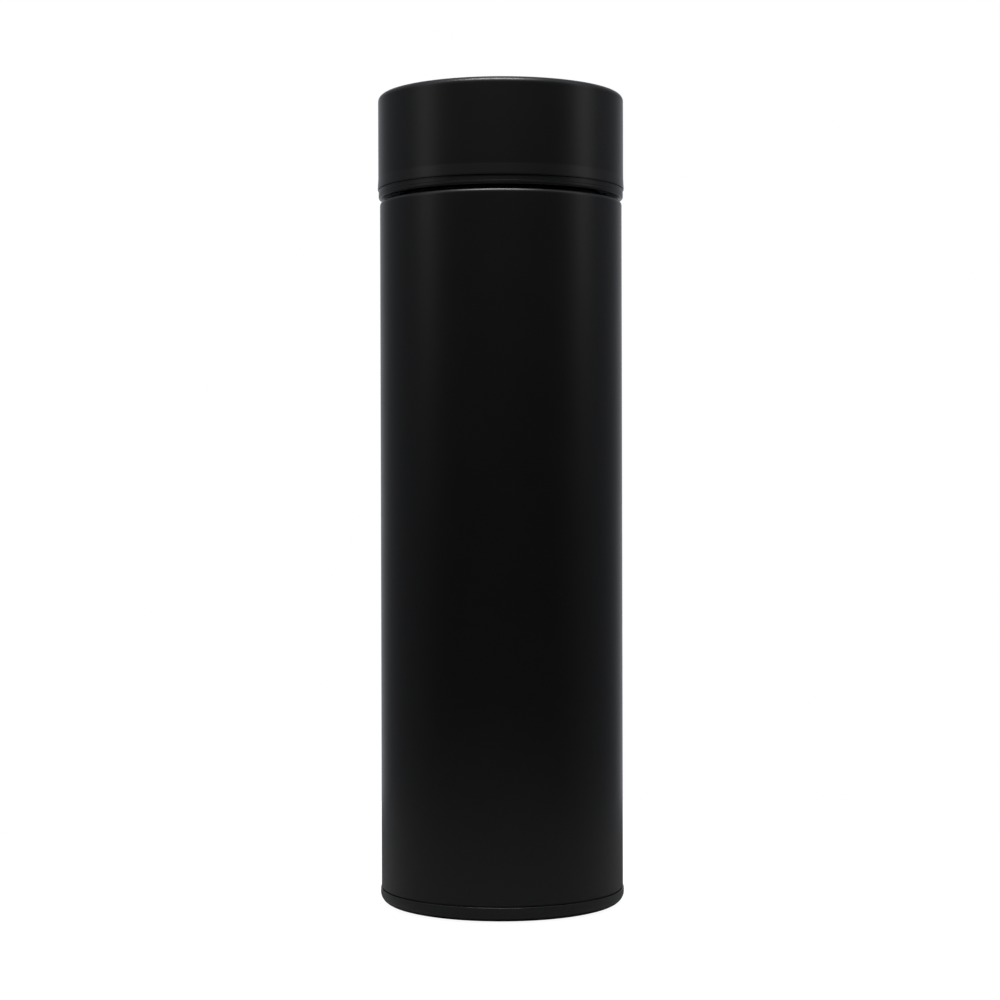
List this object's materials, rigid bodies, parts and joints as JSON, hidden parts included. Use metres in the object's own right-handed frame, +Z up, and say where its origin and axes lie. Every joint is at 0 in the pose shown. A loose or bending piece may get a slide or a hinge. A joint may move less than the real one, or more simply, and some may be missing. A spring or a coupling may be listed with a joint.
{
  "type": "vacuum flask",
  "caption": "Tall cylindrical double-walled steel vacuum flask with a steel-clad screw lid, a wide threaded mouth and a flat base, closed and standing.",
  "frame": {"origin": "on the flask's axis, at the lower face of its foot pad", "axes": "+Z up along the axis from the foot pad to the lid; the flask is round, so +X and +Y are free, and the getter inside lies towards +X"},
  "size_m": [0.0672, 0.0672, 0.22],
  "materials": {
    "powder_coat": "satin black powder coat on steel",
    "black_plastic": "satin moulded black polypropylene",
    "grey_plastic": "moulded dark grey polypropylene",
    "steel": "electropolished stainless steel",
    "copper": "bright copper foil",
    "solder_glass": "fused solder glass",
    "getter_alloy": "pressed getter powder",
    "foam": "closed-cell foam",
    "foot_rubber": "matt moulded rubber",
    "silicone": "translucent white silicone"
  },
  "bodies": {
    "flask": {"outer_shell": "powder_coat", "inner_liner": "steel", "liner_base": "steel", "copper_foil": "copper", "foil_tape": "copper", "foil_disc": "copper", "base_plate": "steel", "glass_seal": "solder_glass", "getter_pill": "getter_alloy", "getter_clip": "steel", "base_foam": "foam", "base_cover": "black_plastic", "foot_pad": "foot_rubber"},
    "lid_core": {"lid_plug_foam": "foam"},
    "lid": {"lid_shell": "powder_coat", "lid_trim_ring": "black_plastic", "lid_inner_cap": "grey_plastic", "lid_top_foam": "foam", "lid_steel_dish": "steel", "lid_gasket": "silicone"}
  },
  "joints": [
    {"name": "lid_rise", "type": "slide", "parent": "flask", "child": "lid_core", "axis": [0, 0, 1], "range_m": [0, 0.02]},
    {"name": "lid_turn", "type": "hinge", "parent": "lid_core", "child": "lid", "pos_m": [0, 0, 0.192], "axis": [0, 0, 1], "range_deg": [0, 900]}
  ],
  "couplings": [
    {"joint": "lid_rise", "follows": "lid_turn", "m_per_rad": 0.0012732}
  ]
}
